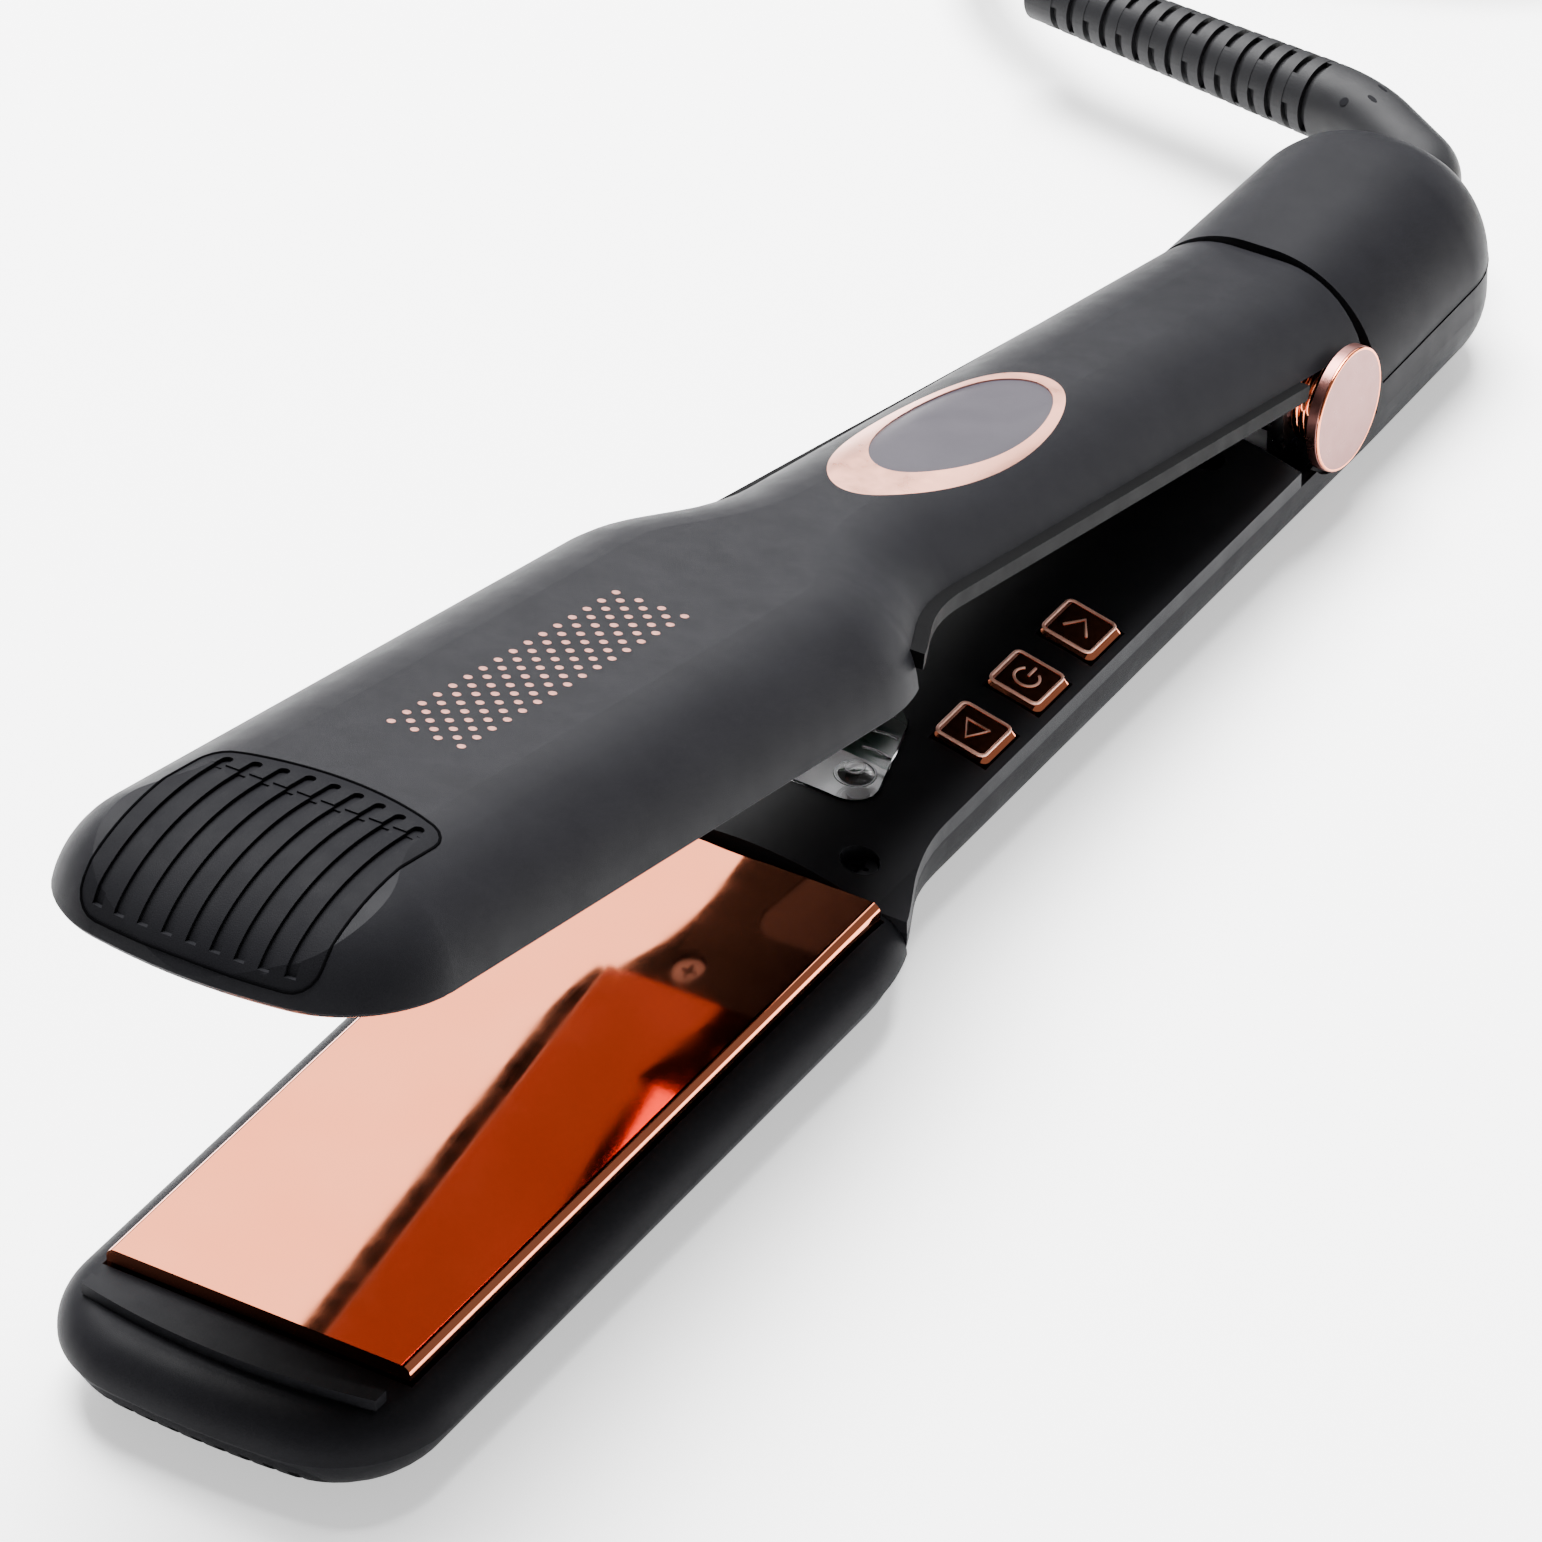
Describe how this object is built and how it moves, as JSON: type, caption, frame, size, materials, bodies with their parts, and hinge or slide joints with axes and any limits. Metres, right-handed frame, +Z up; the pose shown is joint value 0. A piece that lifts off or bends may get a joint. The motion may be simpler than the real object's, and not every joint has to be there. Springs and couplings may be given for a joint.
{
  "type": "flat iron",
  "caption": "Hair straightener with two hinged arms, floating heated plates, press keys, a display window and a swivelling power cord put away in a coil.",
  "frame": {"origin": "middle of the iron's footprint on the surface it lies on, cord left out", "axes": "+Z up from the surface, +Y from the nose along the iron to the cord, +X to the side with the keys"},
  "size_m": [0.1391, 0.4761, 0.0817],
  "materials": {
    "soft_touch_shell": "soft-touch charcoal",
    "inner_plastic": "fine satin charcoal",
    "nose_rubber": "matt rubber",
    "rose_mirror": "polished rose gold",
    "rose_satin": "satin rose gold",
    "smoked_glass": "smoked",
    "clear_plastic": "clear",
    "blank_label": "plain",
    "steel": "plain",
    "black_steel": "blackened",
    "ceramic": "white ceramic",
    "clamp_aluminium": "rolled",
    "silicone": "silicone",
    "board_green": "solder mask",
    "emitter_white": "white",
    "brass": "plain",
    "bearing_plastic": "plain acetal",
    "boot_rubber": "matt moulded",
    "cord_jacket": "matt jacket",
    "tie_fabric": "hook and loop",
    "plug_plastic": "moulded",
    "plug_brass": "plated"
  },
  "bodies": {
    "lower_arm": {"lower_outer_shell": "soft_touch_shell", "lower_inner_housing": "inner_plastic", "lower_nose_grip": "nose_rubber", "lower_plate_frame": "soft_touch_shell", "lower_housing_screws": "black_steel", "lower_plate_cushions": "silicone", "key_switches": "bearing_plastic", "key_board": "board_green", "control_board": "board_green", "clear_lens": "clear_plastic", "emitter": "emitter_white", "barrel_cover": "soft_touch_shell", "barrel_screws": "black_steel", "hinge_bracket": "steel", "hinge_pin": "steel", "hinge_cap_left": "rose_satin", "hinge_cap_right": "rose_satin", "hinge_spring": "steel", "swivel_socket": "bearing_plastic", "swivel_brushes": "bearing_plastic"},
    "upper_arm": {"upper_outer_shell": "soft_touch_shell", "upper_inner_housing": "inner_plastic", "upper_nose_grip": "nose_rubber", "upper_plate_frame": "soft_touch_shell", "display_bezel": "rose_satin", "display_window": "smoked_glass", "display_board": "board_green", "blank_insert": "blank_label", "upper_housing_screws": "black_steel", "upper_plate_cushions": "silicone", "upper_hinge_bracket": "steel"},
    "lower_carriage": {"lower_plate": "rose_mirror", "lower_heater": "ceramic", "lower_heater_clamp": "clamp_aluminium", "thermal_fuse": "ceramic"},
    "upper_carriage": {"upper_plate": "rose_mirror", "upper_heater": "ceramic", "upper_heater_clamp": "clamp_aluminium"},
    "key_down": {"key_down": "rose_mirror"},
    "key_power": {"key_power": "rose_mirror"},
    "key_up": {"key_up": "rose_mirror"},
    "cord_swivel": {"swivel_rotor": "bearing_plastic", "slip_rings": "brass", "cord_boot": "boot_rubber", "power_cord": "cord_jacket", "cord_coil": "cord_jacket", "cord_tie": "tie_fabric", "plug_lead": "cord_jacket", "plug_body": "plug_plastic", "plug_blades": "plug_brass"}
  },
  "joints": [
    {"name": "arm_hinge", "type": "hinge", "parent": "lower_arm", "child": "upper_arm", "pos_m": [0, 0.0975, 0.018], "axis": [1, 0, 0], "range_deg": [0, 12.8], "stiffness_Nm_per_rad": 1, "springref_deg": -25.78, "deforming": ["hinge_spring"]},
    {"name": "lower_plate_float", "type": "slide", "parent": "lower_arm", "child": "lower_carriage", "axis": [0, 0, -1], "range_m": [0, 0.0008], "stiffness_N_per_m": 4000, "springref_m": -0.001, "deforming": ["lower_plate_cushions"]},
    {"name": "upper_plate_float", "type": "slide", "parent": "upper_arm", "child": "upper_carriage", "axis": [0, 0.2215, 0.9751], "range_m": [0, 0.0008], "stiffness_N_per_m": 4000, "springref_m": -0.001, "deforming": ["upper_plate_cushions"]},
    {"name": "key_down_press", "type": "slide", "parent": "lower_arm", "child": "key_down", "axis": [-0.2419, 0, -0.9703], "range_m": [0, 0.0005], "stiffness_N_per_m": 400, "springref_m": -0.001},
    {"name": "key_power_press", "type": "slide", "parent": "lower_arm", "child": "key_power", "axis": [-0.2419, 0, -0.9703], "range_m": [0, 0.0005], "stiffness_N_per_m": 400, "springref_m": -0.001},
    {"name": "key_up_press", "type": "slide", "parent": "lower_arm", "child": "key_up", "axis": [-0.2419, 0, -0.9703], "range_m": [0, 0.0005], "stiffness_N_per_m": 400, "springref_m": -0.001},
    {"name": "cord_swivel_turn", "type": "hinge", "parent": "lower_arm", "child": "cord_swivel", "pos_m": [0, 0.15275, 0.0168], "axis": [0, 1, 0], "continuous": true}
  ]
}
